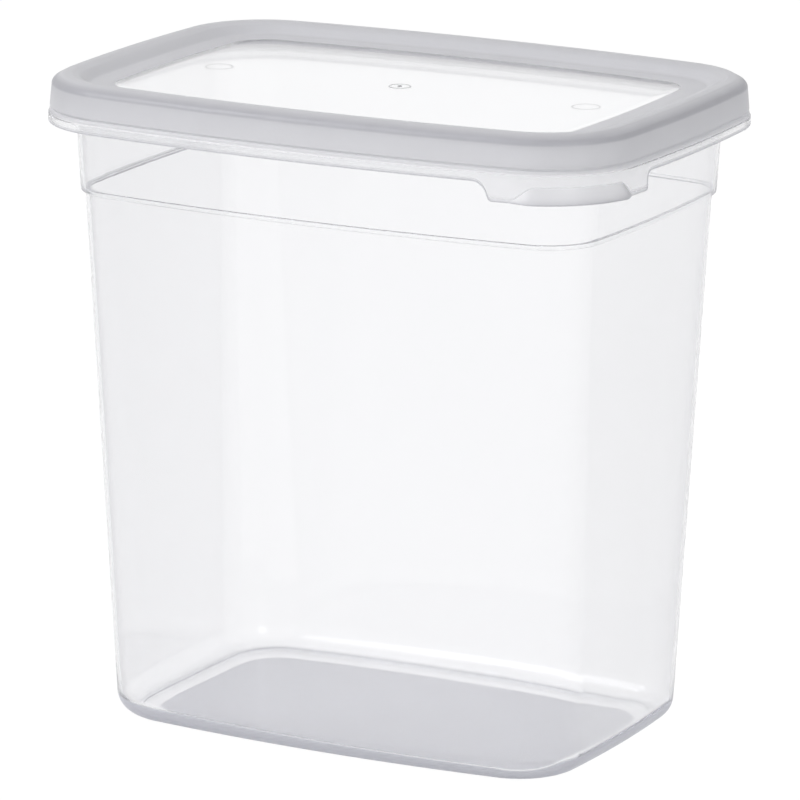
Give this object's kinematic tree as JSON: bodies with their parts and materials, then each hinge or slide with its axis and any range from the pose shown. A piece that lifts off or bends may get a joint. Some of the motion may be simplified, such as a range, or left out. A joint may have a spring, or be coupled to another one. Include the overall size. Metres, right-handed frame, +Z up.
{
  "type": "food storage container",
  "caption": "Tall clear plastic food storage tub, rounded rectangular with a stepped collar, and a press-on lid with a frosted border and a corner pull tab.",
  "frame": {"origin": "middle of the footprint, on the ground under the tub", "axes": "+X along the long side, +Y along the short side away from the long side that ends in the pull tab, +Z up"},
  "size_m": [0.1994, 0.1416, 0.2034],
  "materials": {
    "tub_plastic": "clear, slightly milky polypropylene, frosted floor",
    "lid_plastic": "frosted grey border round a clear panel"
  },
  "bodies": {
    "root": {"tub": "tub_plastic", "lid": "lid_plastic"}
  },
  "joints": []
}
